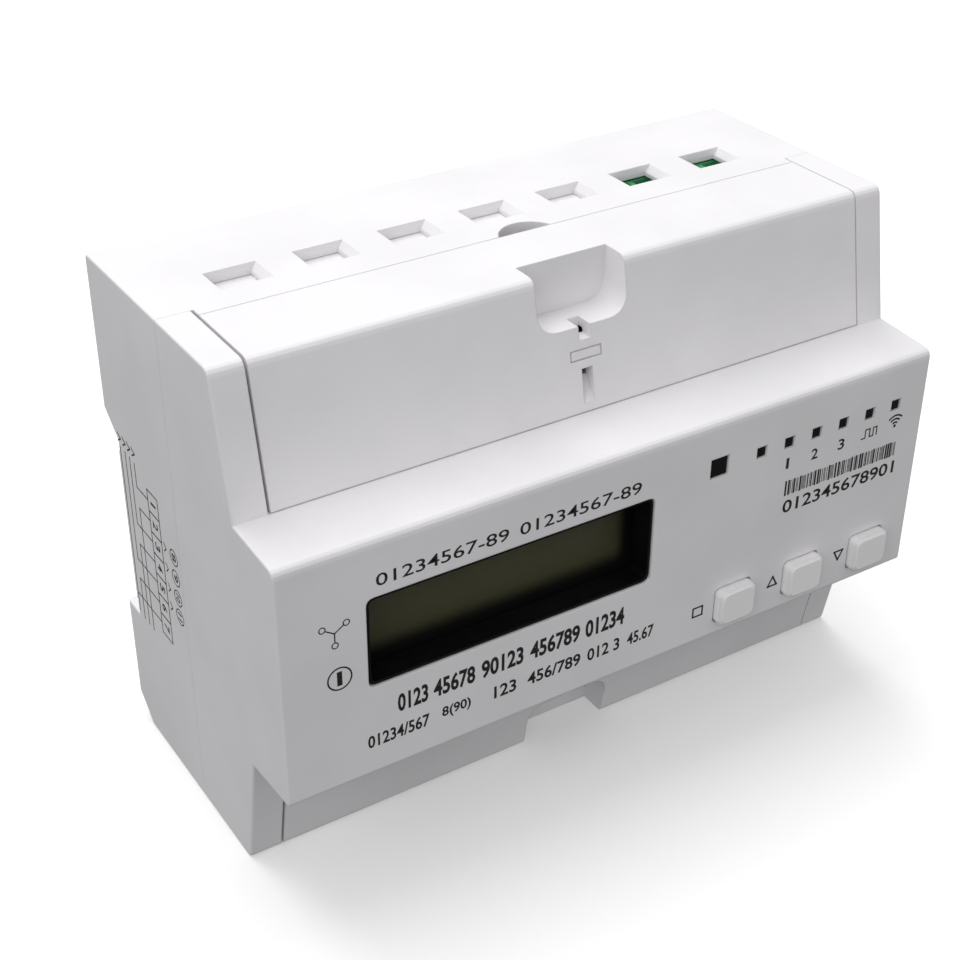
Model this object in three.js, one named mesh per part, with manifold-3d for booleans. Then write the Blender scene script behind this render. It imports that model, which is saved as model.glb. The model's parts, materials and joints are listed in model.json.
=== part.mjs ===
// A seven-module DIN-rail energy meter for three phases, as an assembly of its separate pieces.
// Millimetres, +Z up. +X is to the right when the meter is seen from the front; the front looks along -Y.
// The origin is below the middle of the housing, at the centre of its footprint.
// Outlines are written as [depth, height] or [x, height]. Depth counts forward from a plane just inside the
// housing's back face, 61 mm behind the nose's face.
import * as THREE from "three";
import { mergeVertices } from "three/addons/utils/BufferGeometryUtils.js";
import Module from "manifold-3d";

// ---- Driving dimensions -------------------------------------------------------------------------------
const MODULES = 7;
const MODULE_WIDTH = 18;
const WIDTH = MODULES * MODULE_WIDTH;
const HEIGHT = 92;
const BODY_DEPTH = 61;
const REAR_DEPTH = -1.5; // the housing's back face
const BUTTON_PROUD = 2;

const WALL = 2; // housing wall
const CAP_WALL = 2; // wall that the wire entries pass through
const SEAM = 0.5; // open joint at the left of each terminal cover
const RIGHT_SEAM = 0.2; // and at its right
const GAP = 0.3; // clearance between pieces that rest against each other
const EDGE_ROUND = 0.35; // rounding of the housing's two side faces

const UPPER_ROUND = 1.5; // setback of the front edges that face up
const LOWER_ROUND = 0.7; // and of those that face down

const PARTING_DEPTH = 26; // where the rear housing meets the front housing
const COVER_REAR_DEPTH = 28; // rear edge of each terminal cover
const SHOULDER_DEPTH = 44; // outer edge of each terminal cover
const NOSE_ROOT_DEPTH = 48.5;
const NOSE_ROOT_HALF = 22.6; // half of the nose's height where it leaves the covers
const NOSE_FACE_HALF = 21.75; // and at its face
const EAR_WIDTH = 5.7; // strip of front housing that shows beside each cover

const POLES = 7;
const POLE_PITCH = 15.33;
const ENTRY_DEPTH = 18.6; // centre line of the wire entries and the terminals

const RAIL_BOTTOM = 25; // standard 35 mm rail, between the recess's two shoulders
const RAIL_TOP = 60.3;
const RAIL_DEPTH = 3;
const RAIL_SEAT = [28, 58.2]; // heights of the flat strip that lies on the rail's face
const RAIL_RELIEF = 0.4; // the recess is this much deeper under the hooks and the clip

const MID_Z = HEIGHT / 2;
const HALF_WIDTH = WIDTH / 2;
const EAR_X = HALF_WIDTH - EAR_WIDTH;
const COVER_X = [SEAM - EAR_X, EAR_X - RIGHT_SEAM];
const BACK_Y = (BODY_DEPTH + BUTTON_PROUD + REAR_DEPTH) / 2; // where the depth is 0
const NOSE_TOP = MID_Z + NOSE_ROOT_HALF;
const NOSE_BOTTOM = MID_Z - NOSE_ROOT_HALF;
const FACE_TOP = MID_Z + NOSE_FACE_HALF;
const FACE_BOTTOM = MID_Z - NOSE_FACE_HALF;

// Openings in the nose's face: [left, right] and [bottom, top].
const DISPLAY = { x: [-48.5, 4.4], z: [41.1, 57.6], corner: 1.4 };
const PORT = { x: 17.3, z: 58.9, side: 3.8 };
const LED = { firstX: 26.2, pitch: 6, count: 6, z: 58.9, side: 2.2 };
const BUTTON = { firstX: 22.7, pitch: 15.3, z: 30.4, width: 7.6, height: 6.8, corner: 1.2, clear: 0.2 };
const BUTTON_NAMES = ["set", "up", "down"];

const DISPLAY_BOARD = [48.2, 49.8]; // depths of the two circuit boards
const MAIN_BOARD = [30.5, 32.1];

const poleX = (i) => (i - (POLES - 1) / 2) * POLE_PITCH;
const buttonX = (i) => BUTTON.firstX + i * BUTTON.pitch;
const ledX = (i) => LED.firstX + i * LED.pitch;
const overturn = (z) => HEIGHT - z;

// ---- Solids -------------------------------------------------------------------------------------------
const wasm = await Module();
wasm.setup();

function toSolid(geometry) {
  geometry.deleteAttribute("normal");
  geometry.deleteAttribute("uv");
  const merged = mergeVertices(geometry, 1e-4);
  return new wasm.Manifold(
    new wasm.Mesh({
      numProp: 3,
      vertProperties: merged.attributes.position.array,
      triVerts: new Uint32Array(merged.index.array),
    }),
  );
}

function toGeometry(solid) {
  const { vertProperties, triVerts } = solid.getMesh();
  const geometry = new THREE.BufferGeometry();
  geometry.setAttribute("position", new THREE.BufferAttribute(vertProperties, 3));
  geometry.setIndex(new THREE.BufferAttribute(triVerts, 1));
  return geometry;
}

const join = (first, ...others) => others.reduce((all, next) => all.add(next), first);
const cut = (first, ...others) => others.reduce((left, next) => left.subtract(next), first);

// A closed outline of [a, b, setback] corners. A corner with a setback is rounded.
function outline(corners) {
  const shape = new THREE.Shape();
  const points = corners.map(([a, b]) => new THREE.Vector2(a, b));
  corners.forEach(([, , setback = 0], i) => {
    const corner = points[i];
    const toward = (other) => corner.clone().add(other.clone().sub(corner).setLength(setback));
    const start = toward(points.at(i - 1));
    const end = toward(points[(i + 1) % points.length]);
    if (i === 0) shape.moveTo(start.x, start.y);
    else shape.lineTo(start.x, start.y);
    if (setback > 0) shape.quadraticCurveTo(corner.x, corner.y, end.x, end.y);
  });
  return shape;
}

// With a round, the edges of both end faces are rounded by that much, inside the outline and the length.
function extrude(corners, length, matrix, steps = 4, round = 0) {
  const settings = {
    depth: length - 2 * round,
    curveSegments: steps,
    bevelEnabled: round > 0,
    bevelThickness: round,
    bevelSize: round,
    bevelOffset: -round,
    bevelSegments: 3,
  };
  const geometry = new THREE.ExtrudeGeometry(outline(corners), settings);
  geometry.translate(0, 0, round);
  return toSolid(geometry.applyMatrix4(matrix));
}

// [depth, height] outline, extruded across the width.
function acrossX(corners, x0, x1, steps, round) {
  const matrix = new THREE.Matrix4().set(0, 0, -1, x1, -1, 0, 0, BACK_Y, 0, 1, 0, 0, 0, 0, 0, 1);
  return extrude(corners, x1 - x0, matrix, steps, round);
}

// [x, height] outline, extruded forward between two depths.
function forward(corners, d0, d1, steps) {
  const matrix = new THREE.Matrix4().set(1, 0, 0, 0, 0, 0, -1, BACK_Y - d0, 0, 1, 0, 0, 0, 0, 0, 1);
  return extrude(corners, d1 - d0, matrix, steps);
}

const rectangle = ([a0, a1], [b0, b1], setback = 0) => [
  [a0, b0, setback],
  [a1, b0, setback],
  [a1, b1, setback],
  [a0, b1, setback],
];

// A block between two x, two depths and two heights.
function block([x0, x1], [d0, d1], [z0, z1]) {
  const geometry = new THREE.BoxGeometry(x1 - x0, d1 - d0, z1 - z0);
  geometry.translate((x0 + x1) / 2, BACK_Y - (d0 + d1) / 2, (z0 + z1) / 2);
  return toSolid(geometry);
}

// A round rod that points forward.
function rod(x, z, [d0, d1], radius, sides = 20) {
  const geometry = new THREE.CylinderGeometry(radius, radius, d1 - d0, sides);
  geometry.translate(x, BACK_Y - (d0 + d1) / 2, z);
  return toSolid(geometry);
}

const around = (centre, size) => [centre - size / 2, centre + size / 2];
const grow = ([a, b], by) => [a - by, b + by];

// ---- Housing ------------------------------------------------------------------------------------------
const ENTRY = { mouth: [9, 6.4], throat: [7, 5], bevel: 1.3, lean: 0.6 };
const HOUSING_SCREW = { x: 56.3, z: 20.3, head: 2.8, shank: 1.4, hole: 1.5 };
const CLIP = { half: 9, catchHalf: 7.4, bottom: 3.3, top: 24.8, front: 4.6, back: 1.8 };
const CLIP_WINDOW = { half: 2.8, z: [8.2, 20] };
const CLIP_PEG = { half: 2.4, z: [8.6, 10.2] };

// The funnel that a wire is pushed through, from outside the wall to inside it.
function entryCutter(x, height) {
  const [mouthX, mouthD] = ENTRY.mouth;
  const [throatX, throatD] = ENTRY.throat;
  const lean = height === 0 ? -ENTRY.lean : ENTRY.lean; // the throat lies behind the mouth's middle
  const funnel = new THREE.CylinderGeometry(mouthX / Math.SQRT2, throatX / Math.SQRT2, ENTRY.bevel, 4);
  funnel.rotateY(Math.PI / 4);
  funnel.rotateX(Math.PI / 2);
  funnel.scale(1, mouthD / mouthX, 1);
  funnel.applyMatrix4(new THREE.Matrix4().makeShear(0, 0, 0, 0, 0, -lean / ENTRY.bevel));
  funnel.translate(0, lean / 2, HEIGHT - ENTRY.bevel / 2);
  const lift = new THREE.BoxGeometry(mouthX, mouthD, 1).translate(0, 0, HEIGHT + 0.5);
  const throat = new THREE.BoxGeometry(throatX, throatD, 8).translate(0, lean, HEIGHT - ENTRY.bevel - 3.9);
  const place = (geometry) => {
    geometry.translate(x, BACK_Y - ENTRY_DEPTH, 0);
    if (height === 0) geometry.rotateX(Math.PI).translate(0, 2 * (BACK_Y - ENTRY_DEPTH), HEIGHT);
    return toSolid(geometry);
  };
  return join(place(funnel), place(lift), place(throat));
}

// Side view of the rear housing. With an inset it is the hollow inside, which runs out at the open front.
function rearOutline(inset, front) {
  const cap = inset > 0 ? CAP_WALL : 0;
  const back = REAR_DEPTH + inset;
  const relief = RAIL_DEPTH + RAIL_RELIEF + inset;
  return [
    [front, cap],
    [REAR_DEPTH + 5 + 0.4 * inset, cap],
    [back, 4.5 + 0.4 * inset],
    [back, RAIL_BOTTOM - inset],
    [relief, RAIL_BOTTOM - inset],
    [relief, RAIL_SEAT[0] - inset],
    [RAIL_DEPTH + inset, RAIL_SEAT[0] - inset],
    [RAIL_DEPTH + inset, RAIL_SEAT[1] + inset],
    [relief, RAIL_SEAT[1] + inset],
    [relief, RAIL_TOP + 0.4 * inset],
    [back, RAIL_TOP + 4 + 0.4 * inset],
    [back, HEIGHT - cap, inset > 0 ? 0 : 1],
    [front, HEIGHT - cap],
  ];
}

// The half-moon beside the cover's rear edge, where a blade can lift it.
function halfMoon() {
  const halfChord = 5;
  const rise = 3.5;
  const radius = (halfChord ** 2 + rise ** 2) / (2 * rise);
  const disc = new THREE.CylinderGeometry(radius, radius, 6, 40);
  disc.rotateX(Math.PI / 2);
  disc.translate(0.5, BACK_Y - (COVER_REAR_DEPTH - rise + radius), HEIGHT);
  const room = block([-8, 8], [COVER_REAR_DEPTH - 2 * rise, COVER_REAR_DEPTH], [HEIGHT - 2.3, HEIGHT + 1]);
  return toSolid(disc).intersect(room);
}

function screwPlaces() {
  return [-1, 1].flatMap((side) => [
    { x: side * HOUSING_SCREW.x, z: HOUSING_SCREW.z },
    { x: side * HOUSING_SCREW.x, z: overturn(HOUSING_SCREW.z) },
  ]);
}

function rearHousing() {
  const inner = HALF_WIDTH - WALL;
  const overrun = PARTING_DEPTH + 5;
  let shell = cut(
    acrossX(rearOutline(0, overrun), -HALF_WIDTH, HALF_WIDTH, 4, EDGE_ROUND),
    acrossX(rearOutline(WALL, overrun + 1), -inner, inner),
    block([-WIDTH, WIDTH], [PARTING_DEPTH, overrun + 1], [-1, HEIGHT + 1]),
  );
  // The cap walls reach forward between the ears, as far as the covers.
  const reach = [PARTING_DEPTH - 1, COVER_REAR_DEPTH - 0.1];
  shell = join(
    shell,
    block(COVER_X, reach, [HEIGHT - CAP_WALL, HEIGHT]),
    block(COVER_X, reach, [0, CAP_WALL]),
  );
  for (let i = 0; i < POLES; i++) {
    shell = cut(shell, entryCutter(poleX(i), HEIGHT), entryCutter(poleX(i), 0));
  }
  shell = cut(shell, halfMoon());
  for (const { x, z } of screwPlaces()) {
    shell = join(shell, rod(x, z, [REAR_DEPTH + WALL / 2, PARTING_DEPTH], 4, 20));
    shell = cut(
      shell,
      rod(x, z, [REAR_DEPTH - 1, REAR_DEPTH + 3], 3.1, 20),
      rod(x, z, [REAR_DEPTH + 2, PARTING_DEPTH + 1], 1.7, 12),
    );
  }
  // Two fixed hooks go over the rail's upper edge.
  const hook = [
    [RAIL_DEPTH - 1.3, RAIL_TOP + 2.6],
    [RAIL_DEPTH - 1.3, RAIL_TOP - 1.4],
    [RAIL_DEPTH - 2.1, RAIL_TOP - 1.4],
    [RAIL_DEPTH - 3.3, RAIL_TOP + 0.4],
    [RAIL_DEPTH - 3.3, RAIL_TOP + 4],
  ];
  shell = join(shell, acrossX(hook, -32, -20), acrossX(hook, 20, 32));
  return clipGuide(shell);
}

// The channel in the lower block that the rail clip slides in, its two lips and the spring's peg.
function clipGuide(shell) {
  const roomHalf = CLIP.half + 0.4;
  const wallHalf = roomHalf + WALL;
  const back = CLIP.front + GAP;
  const envelope = acrossX(rearOutline(0, PARTING_DEPTH), -wallHalf, wallHalf);
  const walls = block([-wallHalf, wallHalf], [REAR_DEPTH + 0.5, back + WALL], [0.5, RAIL_BOTTOM]).intersect(envelope);
  const catchRoom = CLIP.catchHalf + GAP;
  return join(
    cut(
      join(shell, walls),
      block([-roomHalf, roomHalf], [CLIP.back - GAP, back], [-1, RAIL_BOTTOM + 1]),
      block([-catchRoom, catchRoom], [REAR_DEPTH - 1, CLIP.back], [-1, RAIL_BOTTOM + 1]),
    ),
    block([-CLIP_PEG.half, CLIP_PEG.half], [CLIP.back + 0.4, back + 1], CLIP_PEG.z),
  );
}

// Side view of the front housing: cover shoulders above and below, the nose between them.
const FRONT_OUTLINE = [
  [PARTING_DEPTH - 5, 0],
  [SHOULDER_DEPTH, 0, LOWER_ROUND],
  [NOSE_ROOT_DEPTH, NOSE_BOTTOM],
  [BODY_DEPTH, FACE_BOTTOM, LOWER_ROUND],
  [BODY_DEPTH, FACE_TOP, UPPER_ROUND],
  [NOSE_ROOT_DEPTH, NOSE_TOP],
  [SHOULDER_DEPTH, HEIGHT, UPPER_ROUND],
  [PARTING_DEPTH - 5, HEIGHT],
];

// Room for a terminal cover: everything above the nose.
const COVER_ROOM = [
  [PARTING_DEPTH - 1, NOSE_TOP],
  [BODY_DEPTH, NOSE_TOP],
  [BODY_DEPTH, HEIGHT + 1],
  [PARTING_DEPTH - 1, HEIGHT + 1],
];

// Side view of the hollow behind an ear's edge.
const EAR_HOLLOW = [
  [PARTING_DEPTH - 1, NOSE_TOP],
  [NOSE_ROOT_DEPTH - WALL, NOSE_TOP],
  [SHOULDER_DEPTH - WALL, HEIGHT - WALL],
  [PARTING_DEPTH - 1, HEIGHT - WALL],
];

const turned = (corners) => corners.map(([depth, z]) => [depth, overturn(z)]);

function frontHousing() {
  const inner = HALF_WIDTH - WALL;
  const noseHollow = rectangle([PARTING_DEPTH - 1, BODY_DEPTH - WALL], [FACE_BOTTOM + WALL, FACE_TOP - WALL]);
  let shell = cut(
    acrossX(FRONT_OUTLINE, -HALF_WIDTH, HALF_WIDTH, 4, EDGE_ROUND),
    block([-WIDTH, WIDTH], [PARTING_DEPTH - 6, PARTING_DEPTH], [-1, HEIGHT + 1]),
    acrossX(noseHollow, -inner, inner),
    acrossX(COVER_ROOM, -EAR_X, EAR_X),
    acrossX(turned(COVER_ROOM), -EAR_X, EAR_X),
    acrossX(EAR_HOLLOW, -inner, inner),
    acrossX(turned(EAR_HOLLOW), -inner, inner),
  );
  for (const { x, z } of screwPlaces()) {
    const side = Math.sign(x);
    const reach = z < MID_Z ? [z - 1, NOSE_BOTTOM + 1] : [NOSE_TOP - 1, z + 1];
    const web = side < 0 ? [-inner - 1, x + 1] : [x - 1, inner + 1];
    shell = join(
      shell,
      rod(x, z, [PARTING_DEPTH + GAP, 38], 2.9, 20),
      block(web, [PARTING_DEPTH + GAP, 38], reach),
    );
    shell = cut(shell, rod(x, z, [PARTING_DEPTH - 1, 36], HOUSING_SCREW.hole, 12));
  }
  // Four posts carry the display board.
  for (const x of [-57.5, 57.5]) {
    for (const z of [40, 54]) {
      shell = join(shell, rod(x, z, [DISPLAY_BOARD[1] + GAP, BODY_DEPTH - 1], 2, 12));
    }
  }
  return cutFace(shell);
}

function cutFace(shell) {
  const through = [BODY_DEPTH - WALL - 1, BODY_DEPTH + 1];
  const square = (x, z, side) => forward(rectangle(around(x, side), around(z, side)), ...through);
  let face = cut(
    shell,
    forward(rectangle(DISPLAY.x, DISPLAY.z, DISPLAY.corner), ...through),
    square(PORT.x, PORT.z, PORT.side),
  );
  for (let i = 0; i < LED.count; i++) {
    face = cut(face, square(ledX(i), LED.z, LED.side));
  }
  const { width, height, corner, clear } = BUTTON;
  BUTTON_NAMES.forEach((_, i) => {
    const across = around(buttonX(i), width + 2 * clear);
    const hole = rectangle(across, around(BUTTON.z, height + 2 * clear), corner);
    face = cut(face, forward(hole, ...through));
  });
  return face;
}

// ---- Terminal covers ----------------------------------------------------------------------------------
const NOTCH = { half: 8.5, rear: 39, floor: 82.8, side: 86.8, skin: 1.6 };
const SEAL_SLOT = { half: 1.1, z: [80.6, 84.5] };
const LABEL_RECESS = { half: 3, z: [77.3, 79.1], line: 0.2, sink: 0.35 };
const BLADE_SLOT = { half: 1.05, z: [70.2, 75.9] };

// Depth of the cover's sloping face at a height.
function slopeDepth(z) {
  const share = (HEIGHT - z) / (HEIGHT - NOSE_TOP);
  return SHOULDER_DEPTH + share * (NOSE_ROOT_DEPTH - SHOULDER_DEPTH);
}

// The thumb notch's outline, open at the top, with a bowl-shaped floor.
const bowl = (grow) => [
  [-NOTCH.half - grow, HEIGHT + 1],
  [-NOTCH.half - grow, NOTCH.floor - grow, NOTCH.side - NOTCH.floor + grow],
  [NOTCH.half + grow, NOTCH.floor - grow, NOTCH.side - NOTCH.floor + grow],
  [NOTCH.half + grow, HEIGHT + 1],
];

// A slab that follows the sloping face from `sink` below it to well outside it.
function faceSlab([x0, x1], [z0, z1], sinkTop, sinkBottom) {
  const corners = [
    [slopeDepth(z0) - sinkBottom, z0],
    [slopeDepth(z1) - sinkTop, z1],
    [slopeDepth(z1) + 2, z1],
    [slopeDepth(z0) + 2, z0],
  ];
  return acrossX(corners, x0, x1);
}

// A cover as it sits above the nose, its front edge rounded by that setback.
function terminalCover(round) {
  const bottom = NOSE_TOP + 0.15;
  const outside = [
    [COVER_REAR_DEPTH, HEIGHT],
    [SHOULDER_DEPTH, HEIGHT, round],
    [slopeDepth(bottom), bottom],
    [COVER_REAR_DEPTH, bottom],
  ];
  const hollow = [
    [COVER_REAR_DEPTH - 1, HEIGHT - WALL],
    [SHOULDER_DEPTH - WALL, HEIGHT - WALL, 1],
    [slopeDepth(bottom) - WALL, bottom - 1],
    [COVER_REAR_DEPTH - 1, bottom - 1],
  ];
  const envelope = acrossX(outside, ...COVER_X);
  const skin = cut(envelope, acrossX(hollow, ...grow(COVER_X, 1)));
  const pocket = forward(bowl(NOTCH.skin), NOTCH.rear - NOTCH.skin, BODY_DEPTH, 10).intersect(envelope);
  const { half, z, line, sink } = LABEL_RECESS;
  const label = cut(
    faceSlab([-half, half], z, sink, sink),
    faceSlab([-half + line, half - line], [z[0] + line, z[1] - line], 1, 1),
  );
  const slotX = [-BLADE_SLOT.half, BLADE_SLOT.half];
  return cut(
    join(skin, pocket, ...coverRibs(envelope)),
    forward(bowl(0), NOTCH.rear, BODY_DEPTH, 10),
    faceSlab([-SEAL_SLOT.half, SEAL_SLOT.half], SEAL_SLOT.z, 3.2, 3.2),
    label,
    faceSlab(slotX, BLADE_SLOT.z, 1.7 * WALL, 0.1),
  );
}

// Stiffening ribs inside the cover.
function coverRibs(envelope) {
  return [-38, -19, 19, 38].map((x) => {
    const rib = block([x - 0.6, x + 0.6], [38, NOSE_ROOT_DEPTH], [NOSE_TOP + 0.15, HEIGHT - 1]);
    const room = acrossX(
      [
        [30, HEIGHT - 4],
        [SHOULDER_DEPTH - 4.5, HEIGHT - 4, 2],
        [NOSE_ROOT_DEPTH - 4.5, NOSE_TOP],
        [30, NOSE_TOP],
      ],
      x - 1,
      x + 1,
    );
    return cut(rib.intersect(envelope), room);
  });
}

// ---- Display, keys and lights -------------------------------------------------------------------------
function displayBezel() {
  const rim = rectangle(grow(DISPLAY.x, -0.2), grow(DISPLAY.z, -0.2), DISPLAY.corner);
  const flange = rectangle(grow(DISPLAY.x, 2), grow(DISPLAY.z, 2), 1);
  const sight = rectangle(grow(DISPLAY.x, -0.65), grow(DISPLAY.z, -0.65), DISPLAY.corner - 0.3);
  return cut(
    join(forward(rim, 57, 60.7), forward(flange, 56.4, 58.7)),
    forward(sight, 55, BODY_DEPTH + 1),
  );
}

const displayWindow = () => forward(rectangle(grow(DISPLAY.x, 2), grow(DISPLAY.z, 2), 1), 55, 56.1);

// The display glass: two plates, the front one shorter, so that its contact edge shows below.
function lcdPanel() {
  const low = DISPLAY.z[0] - 2.4;
  return join(
    block(grow(DISPLAY.x, 1.8), [52.6, 53.8], [low, DISPLAY.z[1] + 1.8]),
    block(grow(DISPLAY.x, 1.8), [53.7, 54.7], [low + 1.6, DISPLAY.z[1] + 1.8]),
  );
}

function lcdBacklight() {
  const tray = block(grow(DISPLAY.x, 2.4), [50.1, 52.3], [DISPLAY.z[0] - 2, DISPLAY.z[1] + 2]);
  const lightBar = block(grow(DISPLAY.x, -20), [50.1, 52.3], [DISPLAY.z[1] + 1, DISPLAY.z[1] + 3.6]);
  return join(tray, lightBar);
}

function pushButton(i) {
  const { z, width, height, corner } = BUTTON;
  const x = buttonX(i);
  const cap = (shrink, d0, d1) =>
    forward(rectangle(around(x, width - shrink), around(z, height - shrink), corner), d0, d1, 4);
  const step = 0.18;
  return join(
    cap(0, 58, BODY_DEPTH + BUTTON_PROUD - 3 * step),
    cap(step, 60, BODY_DEPTH + BUTTON_PROUD - 1.5 * step),
    cap(4 * step, 60, BODY_DEPTH + BUTTON_PROUD),
    forward(rectangle(around(x, width + 2), around(z, height + 1), 1), 57, 58.6),
    rod(x, z, [54.6, 57.5], 1.6, 16),
  );
}

function keySwitch(i) {
  const x = buttonX(i);
  const { z } = BUTTON;
  return join(
    block(around(x, 6), [DISPLAY_BOARD[1] + GAP, 53], around(z, 6)),
    rod(x, z, [52.9, 53.7], 1.7, 16),
    ...[-2.2, 2.2].map((dz) => block(around(x, 7.4), [DISPLAY_BOARD[1] + GAP, 50.8], around(z + dz, 0.8))),
  );
}

// A smoked light pipe: a square face in its opening and a wider foot behind the wall.
function lightPipe(x, z, side) {
  return join(
    block(around(x, side - 0.3), [57.5, BODY_DEPTH - 0.35], around(z, side - 0.3)),
    block(around(x, side + 1.4), [DISPLAY_BOARD[1] + GAP, BODY_DEPTH - WALL - GAP], around(z, side + 1.4)),
  );
}

function board([x0, x1], [d0, d1], [z0, z1]) {
  return forward(rectangle([x0, x1], [z0, z1], 1.2), d0, d1, 2);
}

function wifiModule() {
  return join(
    block([38, 54], [DISPLAY_BOARD[1] + GAP, 50.9], [39, 53.5]),
    block([39, 53], [50.8, 53.4], [40, 50]),
  );
}

// ---- Supply and measuring parts -----------------------------------------------------------------------
function supplyTransformer() {
  const core = block([-19, 9], [14, 29], [45, 64]);
  const windows = [-12, 2].map((x) => block(around(x, 5), [13, 30], [49, 60]));
  return join(
    cut(core, ...windows),
    block([-12.5, 2.5], [11.5, 30.2], [48.6, 60.4]),
  );
}

function supplyCapacitor() {
  const profile = [
    [0, 0],
    [4.8, 0],
    [5, 0.4],
    [5, 1.8],
    [4.6, 2.2],
    [5, 2.6],
    [5, 15.2],
    [4.4, 15.9],
    [0, 15.9],
  ].map(([r, h]) => new THREE.Vector2(r, h));
  const can = new THREE.LatheGeometry(profile, 24);
  can.translate(26, BACK_Y - 30.2, 54);
  return toSolid(can);
}

const TRANSFORMER_RING = { inner: 4.2, outer: 9.8, depth: 17, z: [26, 36] };

function currentTransformer(i) {
  const { inner, outer, depth, z } = TRANSFORMER_RING;
  const soft = 0.9;
  const profile = [
    [inner, z[0]],
    [outer - soft, z[0]],
    [outer, z[0] + soft],
    [outer, z[1] - soft],
    [outer - soft, z[1]],
    [inner, z[1]],
    [inner, z[0]],
  ].map(([r, h]) => new THREE.Vector2(r, h));
  const ring = new THREE.LatheGeometry(profile, 24);
  ring.rotateX(Math.PI / 2);
  ring.translate(poleX(2 * i), BACK_Y - depth, 0);
  return toSolid(ring);
}

// The strap that carries a phase's current up through its transformer and down to the next terminal.
function phaseStrap(i) {
  const depth = [14.1, 15.3];
  const half = 2.2;
  const [inX, outX] = [poleX(2 * i), poleX(2 * i + 1)];
  const foot = 5;
  const top = 42;
  const arch = [
    [inX - half, foot],
    [inX - half, top, 2],
    [outX + half, top, 2],
    [outX + half, foot],
    [outX - half, foot],
    [outX - half, top - 2 * half, 1],
    [inX + half, top - 2 * half, 1],
    [inX + half, foot],
  ];
  return forward(arch, ...depth);
}

// ---- Main terminals -----------------------------------------------------------------------------------
const CAGE = { half: 5.1, depth: [12.4, 24.8], z: [3.6, 14.6], wall: 1.4 };
const CLAMP_SCREW = { z: 9.4, shank: 2.4, hole: 2.5, head: 3.5, headDepth: [26, 29], tip: 19.5 };
const CARRIER = { half: 54.2, depth: [11.2, 33], z: [3.1, 16.2], tube: 4 };

function terminalCage(i) {
  const x = poleX(i);
  const { half, depth, z, wall } = CAGE;
  return cut(
    forward(rectangle([x - half, x + half], z, 0.4), ...depth),
    block([x - half + wall, x + half - wall], grow(depth, -wall), grow(z, 1)),
    rod(x, CLAMP_SCREW.z, [depth[1] - wall - 1, depth[1] + 1], CLAMP_SCREW.hole, 24),
  );
}

function crossHeadScrew(x, z, { shank, head, headDepth, tip }, sides) {
  const [under, top] = headDepth;
  const slot = head * 0.34;
  const blade = head * 1.5;
  return cut(
    join(
      rod(x, z, [under, top - 0.4], head, sides),
      rod(x, z, [top - 1, top], head - 0.4, sides),
      rod(x, z, [tip, under + 0.5], shank, sides),
    ),
    block(around(x, blade), [top - 1.4, top + 1], around(z, slot)),
    block(around(x, slot), [top - 1.4, top + 1], around(z, blade)),
  );
}

function terminalCarrier() {
  const { half, depth, z, tube } = CARRIER;
  let body = block([-half, half], depth, z);
  for (let i = 0; i < POLES; i++) {
    const x = poleX(i);
    body = cut(
      body,
      block(around(x, 2 * CAGE.half + 0.6), grow(CAGE.depth, 0.3), grow(z, 1)),
      rod(x, CLAMP_SCREW.z, [20, depth[1] + 1], tube, 20),
    );
  }
  // Slits between the poles keep neighbouring wires apart and the wall even.
  for (let i = 0; i < POLES - 1; i++) {
    const x = (poleX(i) + poleX(i + 1)) / 2;
    body = cut(body, block(around(x, 1.6), [28, depth[1] + 1], grow(z, 1)));
  }
  return body;
}

// ---- Auxiliary terminals ------------------------------------------------------------------------------
const AUX = { half: 5.5, depth: [11.5, 26], z: [73.5, HEIGHT - CAP_WALL - GAP], firstPole: 5 };
const AUX_SCREW = { z: 79, shank: 1.25, hole: 1.35, head: 1.9, headDepth: [24.2, 26.2], tip: 20.6, dx: 2.55 };

function auxTerminalBlock(i) {
  const x = poleX(AUX.firstPole + i);
  const top = AUX.z[1];
  let body = block([x - AUX.half, x + AUX.half], AUX.depth, AUX.z);
  for (const side of [-1, 1]) {
    const sx = x + side * AUX_SCREW.dx;
    body = cut(
      body,
      block(around(sx, 3.9), [15.6, 21.6], [top - 2.2, top + 1]),
      block(around(sx, 3), [16.4, 20.2], [top - 11, top + 1]),
      rod(sx, AUX_SCREW.z, [24, AUX.depth[1] + 1], 2.1, 16),
      rod(sx, AUX_SCREW.z, [19, AUX.depth[1] + 1], AUX_SCREW.hole, 16),
    );
  }
  return body;
}

function blankTerminalStrip() {
  const top = HEIGHT - CAP_WALL - 0.05;
  let body = acrossX(rectangle([12, 25.5], [79, top], 1.2), -52, poleX(4) + 7.2);
  for (let i = 0; i < POLES - 3; i++) {
    const x = (poleX(i) + poleX(i + 1)) / 2;
    body = cut(body, block(around(x, 2), [11, 26], [top - 4, top + 1]));
  }
  return body;
}

// ---- Rail clip and screws -----------------------------------------------------------------------------
function railClip() {
  const { half, catchHalf, bottom, top, front, back } = CLIP;
  const catchOutline = [
    [back + 0.5, 16],
    [back - 0.1, 16],
    [REAR_DEPTH + 1, 19],
    [REAR_DEPTH + 1, 24],
    [RAIL_DEPTH - 1.7, RAIL_BOTTOM + 2.3],
    [back - 0.1, RAIL_BOTTOM + 2.3],
    [back - 0.1, top],
    [back + 0.5, top],
  ];
  const { half: windowHalf, z: windowZ } = CLIP_WINDOW;
  return cut(
    join(
      forward(rectangle([-half, half], [bottom, top], 0.8), back, front, 2),
      acrossX(catchOutline, -catchHalf, catchHalf),
    ),
    block([-windowHalf, windowHalf], [REAR_DEPTH, front + 1], windowZ),
    block([-3, 3], [back - 1, front + 1], [bottom + 1.2, bottom + 3]),
  );
}

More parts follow.
